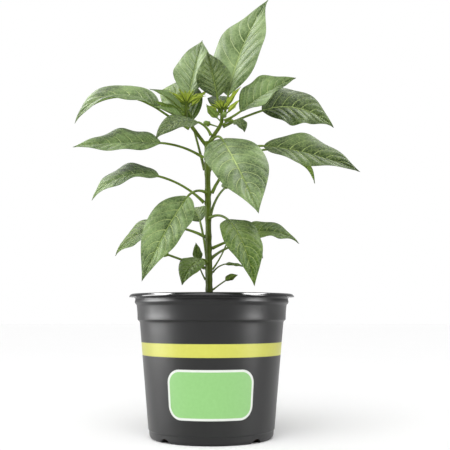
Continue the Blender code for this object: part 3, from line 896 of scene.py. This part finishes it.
def pot_corners():
    """The pot's shell, up the outside and down the inside."""
    outside = [
        (0, 0, 0),
        (FOOT_RADIUS - 2.2, 0, 0.8),
        (FOOT_RADIUS - 0.9, 1.4, 1.0),
        (FOOT_RADIUS - 0.5, FOOT_HEIGHT - 0.6, 0.3),
        (FOOT_RADIUS, FOOT_HEIGHT, 0.5),
        (STRIPE_TOP_RADIUS, STRIPE_TOP, 3.0),
        (LOWER_LEDGE_RADIUS - 0.5, LOWER_LEDGE, 2.4),
        (LOWER_LEDGE_RADIUS - 0.2, UPPER_LEDGE - 5.2, 2.5),
        (LOWER_LEDGE_RADIUS + 0.2, UPPER_LEDGE - 1.0, 1.6),
        (UPPER_LEDGE_RADIUS + LEDGE_STEP, UPPER_LEDGE, 0.5),
        (UPPER_LEDGE_RADIUS + 0.9, UPPER_LEDGE + 4.5, 2.0),
        (COLLAR_RADIUS - 1.4, COLLAR_BOTTOM - 1.2, 1.6),
        (COLLAR_RADIUS - 0.2, COLLAR_BOTTOM, 0.5),
        (COLLAR_RADIUS, COLLAR_BOTTOM + 0.8, 0.5),
        (COLLAR_RADIUS - 0.5, COLLAR_TOP - 0.8, 0.8),
        (COLLAR_RADIUS + 0.2, COLLAR_TOP, 0.6),
    ]
    lip = [
        (LIP_RADIUS - 1.2, COLLAR_TOP + 0.6, 0.4),
        (LIP_RADIUS, COLLAR_TOP + 0.1, 0.4),
        (LIP_RADIUS, POT_HEIGHT - 1.7, 0.5),
        (LIP_RADIUS - 1.0, POT_HEIGHT - 0.4, 0.8),
        (LIP_RADIUS - 2.4, POT_HEIGHT, 0.6),
        (COLLAR_RADIUS, POT_HEIGHT - 0.3, 0.8),
    ]
    inside = [
        (COLLAR_RADIUS - WALL, COLLAR_TOP, 0.8),
        (COLLAR_RADIUS - WALL - LEDGE_STEP, COLLAR_BOTTOM, 0.8),
        (UPPER_LEDGE_RADIUS - WALL, UPPER_LEDGE, 0.8),
        (STRIPE_TOP_RADIUS - WALL, STRIPE_TOP, 3.0),
        (FOOT_RADIUS - 1.6 - WALL, FLOOR_THICKNESS, 1.0),
        (0, FLOOR_THICKNESS, 0),
    ]
    return outside + lip + inside


def make_pot(finish):
    """The turned shell, with its drainage notches cut at the foot."""
    pot = to_object(turned(eased(pot_corners())), "nursery_pot", [finish], sharp=40)
    cutters = []
    for number in range(NOTCH_COUNT):
        heading = math.radians(45 + number * 360 / NOTCH_COUNT)
        cutter = make_notch_cutter(heading)
        cut = pot.modifiers.new("notch", "BOOLEAN")
        cut.operation = "DIFFERENCE"
        cut.solver = "EXACT"
        cut.object = cutter
        cutters.append(cutter)
    apply_modifiers(pot)
    for cutter in cutters:
        bpy.data.objects.remove(cutter)
    pot.data.shade_smooth()
    pot.data.set_sharp_from_angle(angle=math.radians(40))
    keep(pot, "pot_plastic", "pot")


def make_notch_cutter(heading):
    """A cylinder lying across the foot, which cuts one drainage notch with an arched top."""
    bm = bmesh.new()
    length = NOTCH_TO - NOTCH_FROM
    middle = Matrix.Translation((NOTCH_FROM + length / 2, 0, NOTCH_TOP - NOTCH_RADIUS))
    turn = Matrix.Rotation(heading, 4, "Z") @ middle
    bmesh.ops.create_cone(
        bm, cap_ends=True, segments=48, radius1=NOTCH_RADIUS, radius2=NOTCH_RADIUS, depth=length,
        matrix=turn @ Matrix.Rotation(math.pi / 2, 4, "Y"),
    )
    return to_object(bm, "notch_cutter", [])


def soil_height(x, y):
    """Uneven top of the soil, a little heaped at the stem."""
    place = Vector((x, y, 0))
    lumps = sum(noise.noise(place * scale) * height for scale, height in SOIL_LUMPS)
    return SOIL_TOP - 0.6 + lumps + 1.6 * math.exp(-((place.length / 9) ** 2))


def make_soil(finish, crumb_finish, grit_finish):
    """The soil in the pot, and what lies on it."""
    low, high = (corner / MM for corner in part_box("potting_soil"))
    edge = high.x - 0.4
    rings = [(edge * number / SOIL_RINGS, SOIL_TOP) for number in range(SOIL_RINGS + 1)]
    foot = FOOT_RADIUS - WALL - 3.0
    waist = STRIPE_TOP_RADIUS - WALL - 1.0
    side = [(0, low.z), (foot, low.z), (waist, STRIPE_TOP), (edge - 1.0, SOIL_TOP - 4)]
    bm = turned([*side, *reversed(rings)], 96)
    for vert in bm.verts:
        if vert.co.z > SOIL_TOP - 0.01:
            vert.co.z = soil_height(vert.co.x, vert.co.y)
    keep(to_object(bm, "potting_mix", [finish], sharp=180), "soil", "potting_soil")
    scatter_crumbs(edge - 2.0, crumb_finish, grit_finish)


def crumb_stretch(rng):
    """How far a bark crumb is drawn out in length, width and height."""
    return rng.uniform(0.8, 1.9), rng.uniform(0.5, 1.0), rng.uniform(0.35, 0.7)


def add_crumb(bm, reach, pale, rng):
    """One uneven bark crumb or pale grain at a random place on the soil."""
    radius = reach * math.sqrt(rng.random())
    angle = rng.uniform(0, math.tau)
    x, y = radius * math.cos(angle), radius * math.sin(angle)
    size = rng.uniform(0.35, 0.75) if pale else rng.uniform(0.4, 1.5)
    stretch = (1, 1, 1) if pale else crumb_stretch(rng)
    place = Matrix.Translation((x, y, soil_height(x, y) + size * 0.15))
    turn = Matrix.Rotation(rng.uniform(0, math.tau), 4, "Z")
    turn = turn @ Matrix.Rotation(rng.uniform(-0.4, 0.4), 4, "X")
    matrix = place @ turn @ Matrix.Diagonal((*stretch, 1.0))
    verts = bmesh.ops.create_icosphere(bm, subdivisions=1, radius=size, matrix=matrix)["verts"]
    for face in {face for vert in verts for face in vert.link_faces}:
        face.material_index = 1 if pale else 0
    for vert in verts:
        vert.co += Vector([rng.uniform(-0.14, 0.14) * size for _ in range(3)])


def scatter_crumbs(reach, crumb_finish, grit_finish):
    """Bark crumbs, chips and pale grit lying on the soil."""
    rng = random.Random(CRUMB_SEED)
    bm = bmesh.new()
    for number in range(CRUMBS):
        add_crumb(bm, reach, number % PALE_EVERY == 0, rng)
    keep(to_object(bm, "soil_crumbs", [crumb_finish, grit_finish], sharp=25), "soil")


# ---- stage -----------------------------------------------------------------------------------

def make_stage():
    """A wide pale floor, which isn't part of the object."""
    bm = bmesh.new()
    bmesh.ops.create_grid(bm, x_segments=2, y_segments=2, size=FLOOR_HALF)
    floor = to_object(bm, "studio_floor", [stage_material()])


def add_softbox(name, place, aim, width, height, power):
    """A lit rectangle that shows in gloss only; the world and the overhead light do the shading."""
    light = bpy.data.lights.new(name, "AREA")
    light.shape = "RECTANGLE"
    light.size, light.size_y = width, height
    light.energy = power
    obj = bpy.data.objects.new(name, light)
    obj.visible_diffuse = False
    obj.location = place
    obj.rotation_euler = (Vector(aim) - Vector(place)).to_track_quat("-Z", "Y").to_euler()
    bpy.context.scene.collection.objects.link(obj)


def make_world():
    """A white world, fully bright where it is seen and dimmer where it lights the plant."""
    world = bpy.data.worlds.new("pale_studio")
    bpy.context.scene.world = world
    world.use_nodes = True
    tree = world.node_tree
    background = tree.nodes["Background"]
    background.inputs["Color"].default_value = (1.0, 1.0, 1.0, 1.0)
    seen = tree.nodes.new("ShaderNodeLightPath").outputs["Is Camera Ray"]
    strength = tree.nodes.new("ShaderNodeMapRange")
    tree.links.new(seen, strength.inputs["Value"])
    strength.inputs["To Min"].default_value = WORLD_STRENGTH
    strength.inputs["To Max"].default_value = BACKDROP_STRENGTH
    tree.links.new(strength.outputs[0], background.inputs["Strength"])


def add_overhead_light():
    """The broad soft light from above that shades the leaves."""
    turn_x, turn_y, spread, energy = OVERHEAD
    light = bpy.data.lights.new("overhead_light", "SUN")
    light.angle = math.radians(spread)
    light.energy = energy
    obj = bpy.data.objects.new("overhead_light", light)
    obj.rotation_euler = (math.radians(turn_x), math.radians(turn_y), 0)
    bpy.context.scene.collection.objects.link(obj)


def make_camera():
    """Front view, tilted up a little. The Standard transform shows the white stage as white."""
    camera = bpy.data.cameras.new("front_view")
    camera.lens = CAMERA_LENS
    obj = bpy.data.objects.new("front_view", camera)
    obj.location = CAMERA_PLACE
    obj.rotation_euler = (math.radians(90 + CAMERA_RISE), 0, 0)
    bpy.context.scene.collection.objects.link(obj)
    bpy.context.scene.camera = obj
    bpy.context.scene.view_settings.view_transform = "Standard"


def make_studio():
    """Camera, lights and floor."""
    make_camera()
    make_world()
    for softbox in SOFTBOXES:
        add_softbox(*softbox)
    add_overhead_light()
    make_stage()


def main():
    """The studio, then the object from the pot upwards."""
    make_studio()
    make_pot(pot_material())
    make_soil(*(soil_material(name) for name in SOILS))
    make_stem(woody_material("green_stem"))
    stalk_finish = woody_material("leaf_stalk")
    bud_finish = woody_material("closed_bud")
    finishes = make_leaves(stalk_finish)
    for node, bud in BUDS.items():
        make_bud(node, bud, stalk_finish, bud_finish)
    for seed, (node, (path_name, count, longest)) in enumerate(TIPS.items(), start=TIP_SEED):
        make_tip(node, path_name, count, longest, finishes["young"], seed)


main()
